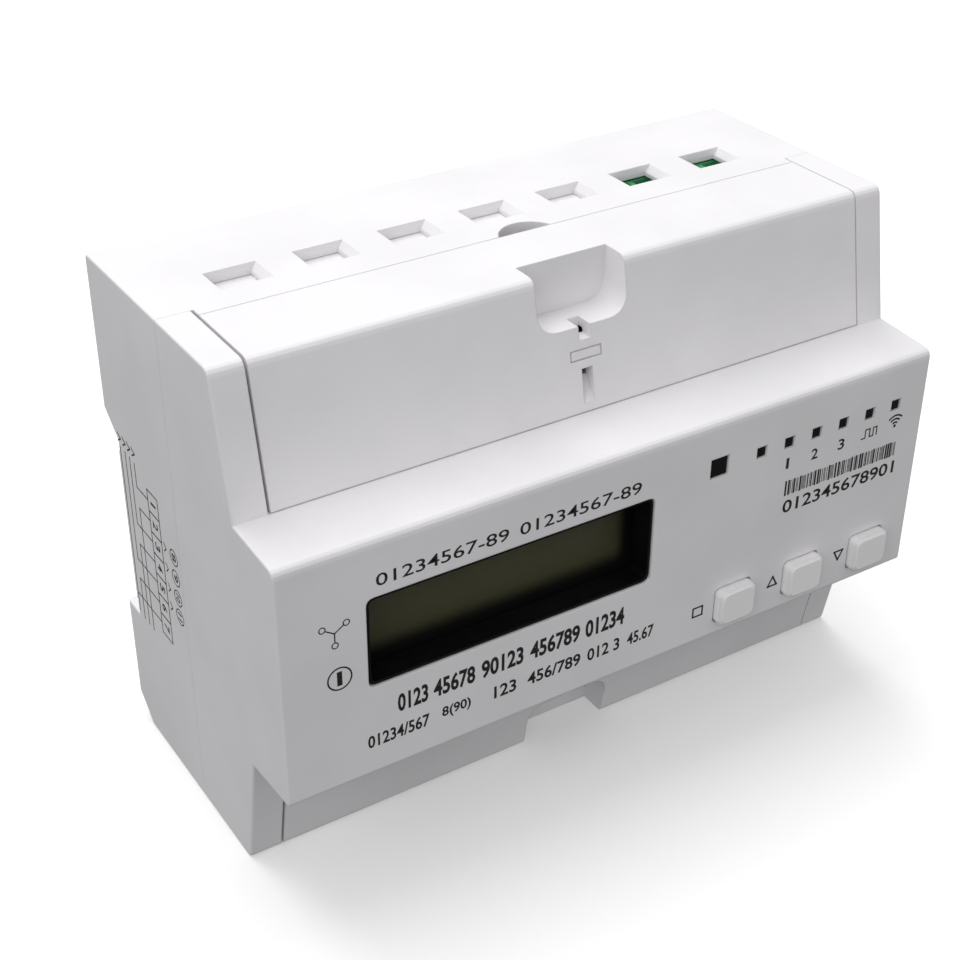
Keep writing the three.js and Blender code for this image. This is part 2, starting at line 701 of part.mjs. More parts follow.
class Helix extends THREE.Curve {
  constructor(radius, from, to, turns) {
    super();
    Object.assign(this, { radius, from, to, turns });
  }

  getPoint(t) {
    const angle = t * this.turns * 2 * Math.PI;
    const z = this.from + t * (this.to - this.from);
    return new THREE.Vector3(this.radius * Math.cos(angle), this.radius * Math.sin(angle), z);
  }
}

function clipSpring() {
  const wire = 0.28;
  const turns = 7;
  const [low, high] = [CLIP_PEG.z[1] + GAP + wire, CLIP_WINDOW.z[1] - GAP - wire];
  const section = new THREE.Shape().absarc(0, 0, wire, 0, 2 * Math.PI);
  const coil = new THREE.ExtrudeGeometry(section, {
    extrudePath: new Helix(1.2, low, high, turns),
    steps: turns * 8,
    curveSegments: 3,
    bevelEnabled: false,
  });
  coil.translate(0, BACK_Y - (CLIP.front + CLIP.back) / 2, 0);
  return toSolid(coil);
}

const HOUSING_SCREW_SIZES = { ...HOUSING_SCREW, headDepth: [REAR_DEPTH + 0.6, REAR_DEPTH + 2.7], tip: 35 };

// A housing screw faces backward, so its head is nearest the back face.
function housingScrew({ x, z }) {
  const { head, shank, headDepth, tip } = HOUSING_SCREW_SIZES;
  const [top, under] = headDepth;
  return cut(
    join(
      rod(x, z, [top + 0.5, under], head, 16),
      rod(x, z, [top, under], head - 0.5, 16),
      rod(x, z, [under - 0.5, tip], shank, 12),
    ),
    block(around(x, 3), [top - 1, top + 1.2], around(z, 0.8)),
    block(around(x, 0.8), [top - 1, top + 1.2], around(z, 3)),
  );
}

// ---- Materials and assembly ---------------------------------------------------------------------------
const finish = (color, roughness, metalness = 0) =>
  new THREE.MeshStandardMaterial({ color, roughness, metalness });

const WHITE_PLASTIC = finish(0xe9eaec, 0.45);
const BUTTON_PLASTIC = finish(0xeeeeee, 0.4);
const BLACK_PLASTIC = finish(0x0d0d0f, 0.35);
const SMOKED_PLASTIC = finish(0x101012, 0.2);
const CLEAR_PLASTIC = finish(0xdfe4e4, 0.05);
const DISPLAY_GLASS = finish(0x56573f, 0.12);
const DIFFUSER = finish(0xf2f2ec, 0.6);
const BOARD_GREEN = finish(0x1d5a37, 0.5);
const TERMINAL_GREEN = finish(0x2b8a4c, 0.45);
const PLATED_STEEL = finish(0xb9bcc0, 0.35, 1);
const COPPER = finish(0xb87346, 0.35, 1);
const CORE_STEEL = finish(0x4b4d52, 0.6, 0.6);
const RING_BLUE = finish(0x1f3f7a, 0.5);
const CAN_BLACK = finish(0x1b1b20, 0.4);

const meter = new THREE.Group();

function add(name, solid, material) {
  const mesh = new THREE.Mesh(toGeometry(solid), material);
  mesh.name = name;
  meter.add(mesh);
  return mesh;
}

add("rear_housing", rearHousing(), WHITE_PLASTIC);
add("front_housing", frontHousing(), WHITE_PLASTIC);
add("top_terminal_cover", terminalCover(UPPER_ROUND), WHITE_PLASTIC);
// The lower cover is made like the upper one, and overturned.
const lowerCover = add("bottom_terminal_cover", terminalCover(LOWER_ROUND), WHITE_PLASTIC);
lowerCover.scale.z = -1;
lowerCover.position.z = HEIGHT;

add("display_bezel", displayBezel(), BLACK_PLASTIC);
add("display_window", displayWindow(), CLEAR_PLASTIC);
add("lcd_panel", lcdPanel(), DISPLAY_GLASS);
add("lcd_backlight", lcdBacklight(), DIFFUSER);
add("display_board", board([-60, 60], DISPLAY_BOARD, [27, 65]), BOARD_GREEN);
add("main_board", board([-60, 60], MAIN_BOARD, [27, 65]), BOARD_GREEN);
add("wifi_module", wifiModule(), PLATED_STEEL);

BUTTON_NAMES.forEach((name, i) => {
  add("button_" + name, pushButton(i), BUTTON_PLASTIC);
  add("key_switch_" + name, keySwitch(i), BLACK_PLASTIC);
});
add("optical_port", lightPipe(PORT.x, PORT.z, PORT.side), SMOKED_PLASTIC);
for (let i = 0; i < LED.count; i++) {
  add("led_pipe_" + (i + 1), lightPipe(ledX(i), LED.z, LED.side), SMOKED_PLASTIC);
}

add("supply_transformer", supplyTransformer(), CORE_STEEL);
add("supply_capacitor", supplyCapacitor(), CAN_BLACK);
for (let i = 0; i < 3; i++) {
  add("current_transformer_" + (i + 1), currentTransformer(i), RING_BLUE);
  add("phase_strap_" + (i + 1), phaseStrap(i), COPPER);
}

add("terminal_carrier", terminalCarrier(), BLACK_PLASTIC);
for (let i = 0; i < POLES; i++) {
  add("terminal_cage_" + (i + 1), terminalCage(i), PLATED_STEEL);
  const screw = crossHeadScrew(poleX(i), CLAMP_SCREW.z, CLAMP_SCREW, 16);
  add("terminal_screw_" + (i + 1), screw, PLATED_STEEL);
}

add("blank_terminal_strip", blankTerminalStrip(), WHITE_PLASTIC);
for (let i = 0; i < 2; i++) {
  add("aux_terminal_block_" + (i + 1), auxTerminalBlock(i), TERMINAL_GREEN);
  [-1, 1].forEach((side, j) => {
    const x = poleX(AUX.firstPole + i) + side * AUX_SCREW.dx;
    const screw = crossHeadScrew(x, AUX_SCREW.z, AUX_SCREW, 16);
    add("aux_screw_" + (2 * i + j + 1), screw, PLATED_STEEL);
  });
}

add("rail_clip", railClip(), BLACK_PLASTIC);
add("clip_spring", clipSpring(), PLATED_STEEL);
screwPlaces().forEach((place, i) => {
  add("housing_screw_" + (i + 1), housingScrew(place), PLATED_STEEL);
});

export default meter;
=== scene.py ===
"""The looks of a seven-module energy meter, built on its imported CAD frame.

Numbers in the tables are millimetres in the frame: +X to the right seen from the front, the front towards -Y,
and +Z up.
"""

import json
import math
import random

import bmesh
import bpy
from mathutils import Matrix, Vector

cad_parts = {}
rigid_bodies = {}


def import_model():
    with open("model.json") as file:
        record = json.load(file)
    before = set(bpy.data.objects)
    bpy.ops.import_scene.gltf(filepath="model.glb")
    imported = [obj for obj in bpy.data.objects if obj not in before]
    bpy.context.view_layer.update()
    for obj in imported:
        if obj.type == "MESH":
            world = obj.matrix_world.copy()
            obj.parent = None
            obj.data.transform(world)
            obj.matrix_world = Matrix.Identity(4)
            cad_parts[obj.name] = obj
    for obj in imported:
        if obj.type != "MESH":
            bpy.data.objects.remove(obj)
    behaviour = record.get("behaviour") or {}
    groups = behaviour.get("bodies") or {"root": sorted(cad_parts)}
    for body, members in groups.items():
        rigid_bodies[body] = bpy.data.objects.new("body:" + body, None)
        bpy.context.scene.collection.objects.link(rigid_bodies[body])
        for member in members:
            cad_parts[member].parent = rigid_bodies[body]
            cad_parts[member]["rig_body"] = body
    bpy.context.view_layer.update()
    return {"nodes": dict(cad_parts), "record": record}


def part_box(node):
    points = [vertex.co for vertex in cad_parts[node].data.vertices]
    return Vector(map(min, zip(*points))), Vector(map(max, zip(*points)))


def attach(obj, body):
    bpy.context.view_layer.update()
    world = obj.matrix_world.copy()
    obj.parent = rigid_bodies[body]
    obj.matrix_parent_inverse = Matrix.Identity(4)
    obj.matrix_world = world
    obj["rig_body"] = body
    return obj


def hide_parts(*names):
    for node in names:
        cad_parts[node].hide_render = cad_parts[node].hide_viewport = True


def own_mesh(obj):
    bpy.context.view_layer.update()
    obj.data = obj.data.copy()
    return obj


MM = 0.001
BACK_Y = 30.75  # where the depth is 0; depths are counted forward from there
FACE_Y = -30.25  # the flat front that carries the display
SIDE_X = -63.0  # the printed side
DISPLAY_AREA = (-47.9, 3.8, 41.7, 57.0)  # left, right, bottom and top of the display glass
WHITE = (0.80, 0.787, 0.806)

WELD = 2e-6  # metres; vertices closer than this are one
FLAT_ANGLE = math.radians(0.5)  # facets that meet below this angle are one face
SHARP_ANGLE = math.radians(32)  # edges above this angle are rounded
SHADING_ANGLE = math.radians(40)  # edges above this angle stay crisp in the shading
ROOM_SHARE = 0.4  # of the width of a face, the most that the rounding of one edge may take
FLOOR_GAP = 0.05  # how far the floor lies below the meter

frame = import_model()
NODES = frame["nodes"]
SLOT_OF = {part["node"]: part["material_slot"] for part in frame["record"]["subparts"]}


# ---- Materials ---------------------------------------------------------------------------------------
class Finish:
    """A node material around one Principled shader."""

    def __init__(self, name, **settings):
        self.material = bpy.data.materials.new(name)
        self.material.use_nodes = True
        self.tree = self.material.node_tree
        self.shader = self.tree.nodes["Principled BSDF"]
        for key, value in settings.items():
            self.set(key.replace("_", " ").title().replace("Ior", "IOR"), value)
        self.place = self.node("TexCoord").outputs["Object"]

    def set(self, key, value):
        """Sets one of the shader's sockets to a number or colour, or links it."""
        socket = self.shader.inputs[key]
        if isinstance(value, bpy.types.NodeSocket):
            self.tree.links.new(value, socket)
        elif socket.type == "RGBA":
            socket.default_value = (*value, 1)
        else:
            socket.default_value = value

    def node(self, kind, links=None, **settings):
        """A new shader node, its sockets linked or filled from `links` and its properties from `settings`."""
        made = self.tree.nodes.new("ShaderNode" + kind)
        for key, value in settings.items():
            setattr(made, key, value)
        for key, value in (links or {}).items():
            if isinstance(value, bpy.types.NodeSocket):
                self.tree.links.new(value, made.inputs[key])
            else:
                made.inputs[key].default_value = value
        return made

    def math(self, operation, a, b=0.0, clamp=False):
        made = self.node("Math", {0: a, 1: b}, operation=operation, use_clamp=clamp)
        return made.outputs[0]

    def noise(self, size, detail=3.0, rough=0.55, stretch=(1, 1, 1)):
        """Noise whose features are `size` mm across, drawn out along an axis by `stretch`."""
        scaled = self.node("Mapping", {"Vector": self.place, "Scale": [1 / s for s in stretch]})
        inputs = {"Vector": scaled.outputs[0], "Scale": 1 / (size * MM), "Detail": detail, "Roughness": rough}
        return self.node("TexNoise", inputs).outputs["Fac"]

    def ramp(self, value, low, high, start=0.0, end=1.0, smooth=True):
        """`value` from low..high to start..end, held outside."""
        inputs = {0: value, 1: low, 2: high, 3: start, 4: end}
        kind = "SMOOTHSTEP" if smooth else "LINEAR"
        return self.node("MapRange", inputs, interpolation_type=kind).outputs[0]

    def mix(self, share, a, b):
        """Colour a at share 0 and colour b at share 1."""
        made = self.node("Mix", data_type="RGBA")
        factor, colour_a, colour_b = made.inputs[0], made.inputs[6], made.inputs[7]
        for socket, value in ((factor, share), (colour_a, a), (colour_b, b)):
            if isinstance(value, bpy.types.NodeSocket):
                self.tree.links.new(value, socket)
            else:
                socket.default_value = value if socket.type == "VALUE" else (*value, 1)
        return made.outputs[2]

    def bump(self, *layers, normal=None):
        """Bumps from (height, depth in mm) layers, each on top of the one before.

        The first layer lies on `normal`, or on the surface as it is.
        """
        for height, depth in layers:
            links = {"Height": height, "Distance": depth * MM, "Strength": 1.0}
            if normal is not None:
                links["Normal"] = normal
            normal = self.node("Bump", links).outputs[0]
        self.set("Normal", normal)

    def edges(self, radius):
        """The normal as if edges were rounded by `radius` mm, and a mask that is 1 along them."""
        soft = self.node("Bevel", {"Radius": radius * MM}, samples=6).outputs[0]
        sharp = self.node("NewGeometry").outputs["Normal"]
        links = {0: soft, 1: sharp}
        agree = self.node("VectorMath", links, operation="DOT_PRODUCT").outputs["Value"]
        return soft, self.ramp(agree, 0.995, 0.9)


def plastic(name, colour, roughness, grain=0.35, relief=0.012, mottle=0.03, wear=0.1, ior=1.5):
    """Moulded plastic with spark-eroded grain, faint flow mottling and edges rubbed paler and smoother."""
    made = Finish(name, roughness=roughness, ior=ior)
    cloud = made.noise(24, 4)
    fine = made.noise(grain, 2, 0.6)
    rounded, rim = made.edges(0.3)
    worn = made.math("MULTIPLY", rim, made.ramp(made.noise(2.2), 0.4, 0.62))
    dark = [c * (1 - mottle) for c in colour]
    pale = [min(1.0, c * (1 + mottle) + 0.002) for c in colour]
    base = made.mix(made.ramp(cloud, 0.3, 0.7), dark, pale)
    speck = made.ramp(made.noise(0.9, 1), 0.74, 0.8, 0, 0.25)
    base = made.mix(speck, base, [c * 0.86 for c in colour])
    rubbed = [c + (1 - c) * wear for c in colour]
    made.set("Base Color", made.mix(worn, base, rubbed))
    rough = made.ramp(fine, 0.2, 0.8, roughness - 0.06, roughness + 0.07)
    made.set("Roughness", made.math("SUBTRACT", rough, made.math("MULTIPLY", worn, 0.1)))
    made.bump((cloud, 0.02), (fine, relief), normal=rounded)
    return made.material


def metal(name, colour, roughness, tarnish=(0.2, 0.19, 0.18), stretch=(1, 1, 1), lines=0.25, stain=0.25):
    """Plated or bare metal with drawn lines, fine scratches and dull stains."""
    made = Finish(name, metallic=1.0, roughness=roughness)
    drawn = made.noise(lines, 3, 0.65, stretch)
    cloud = made.noise(3.5, 5, 0.6)
    stained = made.ramp(cloud, 0.5, 0.72, 0, stain)
    scratch = made.ramp(made.noise(0.5, 2, 0.5, (14, 1, 1)), 0.66, 0.7)
    made.set("Base Color", made.mix(stained, made.mix(drawn, [c * 0.82 for c in colour], colour), tarnish))
    rough = made.ramp(drawn, 0.3, 0.7, roughness - 0.08, roughness + 0.1)
    rough = made.math("ADD", rough, made.math("MULTIPLY", stained, 0.5))
    made.set("Roughness", made.math("SUBTRACT", rough, made.math("MULTIPLY", scratch, 0.08), True))
    made.bump((cloud, 0.01), (drawn, 0.006), (scratch, 0.004))
    return made.material


def lens(name, colour, roughness=0.09):
    """Smoked polycarbonate, polished, with a faint moulding swirl."""
    made = Finish(name, roughness=roughness, ior=1.3)
    swirl = made.noise(1.4, 3, 0.5, (1, 1, 3))
    haze = made.noise(0.2, 2)
    made.set("Base Color", made.mix(swirl, colour, [c * 2.2 + 0.002 for c in colour]))
    made.set("Roughness", made.ramp(haze, 0.3, 0.7, roughness - 0.03, roughness + 0.08))
    made.bump((swirl, 0.01), (haze, 0.002))
    return made.material


def window_finish():
    """Clear acrylic with a hard coat, a little dust and hairline scratches."""
    made = Finish("window_clear", base_color=(0.02, 0.021, 0.02), roughness=0.06, ior=1.49)
    dust = made.ramp(made.noise(0.35, 2), 0.7, 0.78)
    hair = made.ramp(made.noise(0.3, 1, 0.4, (30, 1, 1)), 0.7, 0.73)
    made.set("Alpha", made.math("ADD", made.math("MULTIPLY", dust, 0.05), 0.16))
    made.set("Roughness", made.math("ADD", made.math("MULTIPLY", hair, 0.12), 0.05))
    made.bump((made.noise(9, 2), 0.006), (hair, 0.0015))
    return made.material


def display_finish(left, right, bottom, top):
    """Unlit reflective LCD glass: olive, with a soft dark border that is partly a thin edge mask and partly
    painted shade and reflection of the black recess walls, widest at the bottom and on the right.
    """
    made = Finish("lcd_glass", ior=1.5)
    x, _, z = made.node("SeparateXYZ", {0: made.place}).outputs
    # The dark border is partly a thin edge mask and partly painted shade and reflection of the black recess
    # walls, so it is widest at the bottom (3.8 mm) and on the right (2.6 mm).
    sides = (
        made.ramp(x, left * MM, (left + 1.6) * MM),
        made.ramp(x, right * MM, (right - 2.6) * MM),
        made.ramp(z, bottom * MM, (bottom + 3.8) * MM),
        made.ramp(z, top * MM, (top - 0.9) * MM),
    )
    glass_clear_of_painted_shade = sides[0]
    for side in sides[1:]:
        glass_clear_of_painted_shade = made.math("MULTIPLY", glass_clear_of_painted_shade, side)
    cloud = made.noise(16, 3)
    haze = made.noise(0.3, 2)
    olive = made.mix(cloud, (0.118, 0.113, 0.056), (0.130, 0.124, 0.062))
    # Outside the clear area the glass is painted near-black: painted shade and reflection of the recess walls
    # over a thin edge mask.
    made.set("Base Color", made.mix(glass_clear_of_painted_shade, (0.002, 0.002, 0.003), olive))
    made.set("Roughness", made.ramp(haze, 0.3, 0.7, 0.28, 0.34))
    made.bump((cloud, 0.004), (haze, 0.0005))
    return made.material


def board_finish():
    """Green solder mask over copper tracks, with rows of tinned pads."""
    made = Finish("board_green", ior=1.5)
    x, _, z = made.node("SeparateXYZ", {0: made.place}).outputs
    flat = made.node("CombineXYZ", {0: x, 1: z}).outputs[0]
    tracks = made.node(
        "TexBrick",
        {"Vector": flat, "Scale": 1 / (6 * MM), "Mortar Size": 0.05, "Bias": 0.0, "Row Height": 0.22},
    ).outputs["Fac"]
    cells = {"Vector": flat, "Scale": 1 / (2.54 * MM), "Randomness": 0.0}
    pads = made.ramp(made.node("TexVoronoi", cells).outputs["Distance"], 0.26, 0.22)
    pads = made.math("MULTIPLY", pads, made.ramp(made.noise(14, 1), 0.52, 0.56))
    mask = made.mix(tracks, (0.012, 0.085, 0.035), (0.03, 0.17, 0.07))
    made.set("Base Color", made.mix(pads, mask, (0.55, 0.54, 0.5)))
    made.set("Metallic", pads)
    made.set("Roughness", made.ramp(made.noise(1.1), 0.3, 0.7, 0.3, 0.45))
    made.bump((tracks, 0.035), (made.noise(0.4, 2), 0.004))
    return made.material


def banded(name, dark, pale, pitch, roughness, metallic=0.0, axis=2):
    """A surface with fine bands, `pitch` mm apart along an axis, such as laminations or a wound coil."""
    made = Finish(name, metallic=metallic, ior=1.5)
    along = made.node("SeparateXYZ", {0: made.place}).outputs[axis]
    wobble = made.math("MULTIPLY", made.noise(2.0, 2), 0.12 * pitch * MM)
    phase = made.math("MULTIPLY", made.math("ADD", along, wobble), 2 * math.pi / (pitch * MM))
    wave = made.ramp(made.math("SINE", phase), -0.7, 0.9)
    blotch = made.noise(3, 4)
    made.set("Base Color", made.mix(made.math("MULTIPLY", wave, blotch), dark, pale))
    made.set("Roughness", made.ramp(blotch, 0.3, 0.7, roughness - 0.08, roughness + 0.1))
    made.bump((wave, 0.04), (made.noise(0.3, 2), 0.01))
    return made.material


def floor_finish():
    """White studio floor, lit a little from within so that the shadow on it stays soft."""
    made = Finish("studio_floor", roughness=0.9, emission_color=(1, 1, 1), emission_strength=0.16)
    made.set("Base Color", made.mix(made.noise(40, 4), (0.955, 0.955, 0.955), (0.965, 0.965, 0.965)))
    made.bump((made.noise(1.2, 2), 0.01))
    return made.material


def ink_finish():
    """Pad-printed ink, slightly uneven in its cover."""
    made = Finish("print_ink", ior=1.45)
    thin = made.ramp(made.noise(0.35, 3), 0.5, 0.75, 0, 0.5)
    made.set("Base Color", made.mix(thin, (0.012, 0.012, 0.013), (0.045, 0.045, 0.047)))
    made.set("Roughness", made.ramp(thin, 0, 0.5, 0.42, 0.6))
    made.bump((made.noise(0.12, 2), 0.003))
    return made.material


FINISHES = {
    "housing_white": plastic("housing_white", WHITE, 0.46),
    "button_white": plastic("button_white", (0.90, 0.89, 0.90), 0.36, grain=0.28, relief=0.006),
    "bezel_black": plastic("bezel_black", (0.002, 0.002, 0.0025), 0.5, mottle=0.1, wear=0.005, ior=1.25),
    "switch_black": plastic("switch_black", (0.012, 0.012, 0.013), 0.4, mottle=0.15, wear=0.04),
    "carrier_black": plastic("carrier_black", (0.016, 0.016, 0.017), 0.52, grain=0.22, mottle=0.2, wear=0.05),
    "clip_black": plastic("clip_black", (0.02, 0.02, 0.021), 0.4, mottle=0.15, wear=0.05),
    "terminal_green": plastic("terminal_green", (0.045, 0.30, 0.12), 0.42, mottle=0.1, wear=0.06),
    "can_sleeve": plastic("can_sleeve", (0.015, 0.014, 0.022), 0.3, relief=0.004, mottle=0.12, wear=0.03),
    "diffuser_white": plastic("diffuser_white", (0.85, 0.85, 0.83), 0.6, grain=0.5, mottle=0.02),
    "window_clear": window_finish(),
    "lcd_glass": display_finish(*DISPLAY_AREA),
    "smoked_lens": lens("smoked_lens", (0.0015, 0.0015, 0.0017)),
    "board_green": board_finish(),
    "plated_steel": metal("plated_steel", (0.62, 0.61, 0.59), 0.3, stretch=(1, 6, 1)),
    "screw_zinc": metal("screw_zinc", (0.60, 0.60, 0.58), 0.34, tarnish=(0.32, 0.29, 0.22)),
    "spring_steel": metal("spring_steel", (0.42, 0.42, 0.43), 0.28, lines=0.12),
    "shield_tin": metal("shield_tin", (0.66, 0.66, 0.64), 0.3, stretch=(8, 1, 1), stain=0.35),
    "strap_copper": metal(
        "strap_copper", (0.80, 0.42, 0.26), 0.3, tarnish=(0.25, 0.12, 0.08), stretch=(1, 1, 9)
    ),
    "core_steel": banded("core_steel", (0.05, 0.05, 0.055), (0.2, 0.2, 0.21), 0.5, 0.45, metallic=0.7),
    "ring_blue": banded("ring_blue", (0.008, 0.02, 0.09), (0.03, 0.07, 0.24), 0.9, 0.32, axis=0),
}
INK = ink_finish()


# ---- Pieces from CAD nodes ---------------------------------------------------------------------------
def link(name, data):
    """A new object in the scene that holds a mesh, curve, light or camera."""
    piece = bpy.data.objects.new(name, data)
    bpy.context.scene.collection.objects.link(piece)
    return piece


def dress(piece, body, material):
    """Puts a finished piece on its body, with its material."""
    piece.data.materials.clear()
    piece.data.materials.append(material)
    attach(piece, body)


def apply_modifiers(piece):
    """Turns what the modifiers make of a piece into its own mesh."""
    bpy.context.view_layer.update()
    graph = bpy.context.evaluated_depsgraph_get()
    shown = piece.evaluated_get(graph)
    mesh = bpy.data.meshes.new_from_object(shown, preserve_all_data_layers=True, depsgraph=graph)
    piece.modifiers.clear()
    old = piece.data
    piece.data = mesh
    bpy.data.meshes.remove(old)


def edge_room(edge, rounding):
    """How much of `rounding` the faces beside an edge have room for, from 0 to 1."""
    length = max(edge.calc_length(), 1e-6)
    room = min(face.calc_area() / length for face in edge.link_faces)
    return min(1.0, ROOM_SHARE * room / rounding)


def moulded(node, rounding, segments):
    """A piece in the shape of a CAD node, its facets joined into whole faces and its edges rounded."""
    mesh = NODES[node].data.copy()
    form = bmesh.new()
    form.from_mesh(mesh)
    bmesh.ops.remove_doubles(form, verts=form.verts, dist=WELD)
    bmesh.ops.dissolve_limit(form, angle_limit=FLAT_ANGLE, verts=form.verts, edges=form.edges)
    bmesh.ops.triangulate(form, faces=[face for face in form.faces if len(face.verts) > 4])
    weight = form.edges.layers.float.new("bevel_weight_edge")
    for edge in form.edges:
        if len(edge.link_faces) == 2 and edge.calc_face_angle() > SHARP_ANGLE:
            edge[weight] = edge_room(edge, rounding * MM)
    form.to_mesh(mesh)
    form.free()
    if "custom_normal" in mesh.attributes:
        mesh.attributes.remove(mesh.attributes["custom_normal"])
    piece = link(node + "_moulded", mesh)
    bevel = piece.modifiers.new("rounded", "BEVEL")
    bevel.limit_method = "WEIGHT"
    bevel.width = rounding * MM
    bevel.segments = segments
    bevel.use_clamp_overlap = False
    bevel.miter_outer = "MITER_ARC"
    apply_modifiers(piece)
    piece.data.shade_smooth()
    piece.data.set_sharp_from_angle(angle=SHADING_ANGLE)
    weighted = piece.modifiers.new("even_normals", "WEIGHTED_NORMAL")
    weighted.keep_sharp = True
    apply_modifiers(piece)
    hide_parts(node)
    dress(piece, NODES[node]["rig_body"], FINISHES[SLOT_OF[node]])


# The rounding of the edges of each piece; the other nodes keep the shape that the CAD gives them.
MOULDED = {
    "display_bezel": 0.12,
    "terminal_carrier": 0.25,
    "rail_clip": 0.3,
    "optical_port": 0.1,
    "wifi_module": 0.2,
    "supply_transformer": 0.3,
    "supply_capacitor": 0.4,
}
for name in ("set", "up", "down"):
    MOULDED["button_" + name] = 0.5
    MOULDED["key_switch_" + name] = 0.12
for i in range(1, 8):
    MOULDED[f"terminal_cage_{i}"] = 0.2
    MOULDED[f"terminal_screw_{i}"] = 0.18
for i in range(1, 7):
    MOULDED[f"led_pipe_{i}"] = 0.07
for i in range(1, 5):
    MOULDED[f"aux_screw_{i}"] = 0.1
    MOULDED[f"housing_screw_{i}"] = 0.15
for i in range(1, 3):
    MOULDED[f"aux_terminal_block_{i}"] = 0.25

for name, rounding in MOULDED.items():
    moulded(name, rounding, 3 if name.startswith("button") else 2)

for name, node in NODES.items():
    if name not in MOULDED and name != "clip_spring":
        node.data.materials.clear()
        node.data.materials.append(FINISHES[SLOT_OF[name]])


# ---- Spring ------------------------------------------------------------------------------------------
def spring():
    """The clip's return spring: round wire, with a closed turn at each end."""
    low, high = (corner * 1000 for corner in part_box("clip_spring"))
    wire = 0.28  # the wire's own radius
    radius = (high.x - low.x) / 2 - wire
    centre = (low + high) / 2
    end_share = 0.09  # of the height, for the closed turn at each end
    turns, per_turn, around = 7, 28, 10
    steps = turns * per_turn
    line = []
    for k in range(steps + 1):
        t = k / steps
        ends = min(t, 1 - t) * turns
        closed = 0.5 - 0.5 * math.cos(math.pi * min(1.0, ends))
        spread = (t - 0.5) * (1 - 2 * end_share * (1 - closed))
        lift = spread + math.copysign(end_share * (1 - closed), t - 0.5)
        angle = 2 * math.pi * turns * t
        x = centre.x + radius * math.cos(angle)
        y = centre.y + radius * math.sin(angle)
        z = centre.z + lift * (high.z - low.z - 2 * wire)
        line.append(Vector((x, y, z)))
    form = bmesh.new()
    rings = []
    for k, point in enumerate(line):
        ahead = (line[min(k + 1, steps)] - line[max(k - 1, 0)]).normalized()
        out = Vector((point.x - centre.x, point.y - centre.y, 0)).normalized()
        up = ahead.cross(out).normalized()
        ring = []
        for j in range(around):
            turn = 2 * math.pi * j / around
            offset = wire * (math.cos(turn) * out + math.sin(turn) * up)
            ring.append(form.verts.new((point + offset) * MM))
        rings.append(ring)
    for a, b in zip(rings, rings[1:]):
        for j in range(around):
            form.faces.new((a[j], a[(j + 1) % around], b[(j + 1) % around], b[j]))
    form.faces.new(rings[0])
    form.faces.new(rings[-1][::-1])
    bmesh.ops.recalc_face_normals(form, faces=form.faces)
    mesh = bpy.data.meshes.new("clip_spring_wire")
    form.to_mesh(mesh)
    form.free()
    mesh.shade_smooth()
    piece = link("clip_spring_wire", mesh)
    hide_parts("clip_spring")
    dress(piece, "housing", FINISHES["spring_steel"])
    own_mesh(piece)


spring()


# ---- Print -------------------------------------------------------------------------------------------
INK_UNDER, INK_OVER = -0.01, 0.02  # the ink's underside and top, measured out from the plastic
BAR_WIDTHS = (0.13, 0.13, 0.26, 0.39)
BAR_GAPS = (0.13, 0.13, 0.26, 0.3)


def on_face(u, v, w):
    """(x, z) on the front face, w proud of it."""
    return Vector((u, FACE_Y - w, v)) * MM


def on_side(u, v, w):
    """(depth, z) on the left side, w proud of it."""
    return Vector((SIDE_X - w, BACK_Y - u, v)) * MM


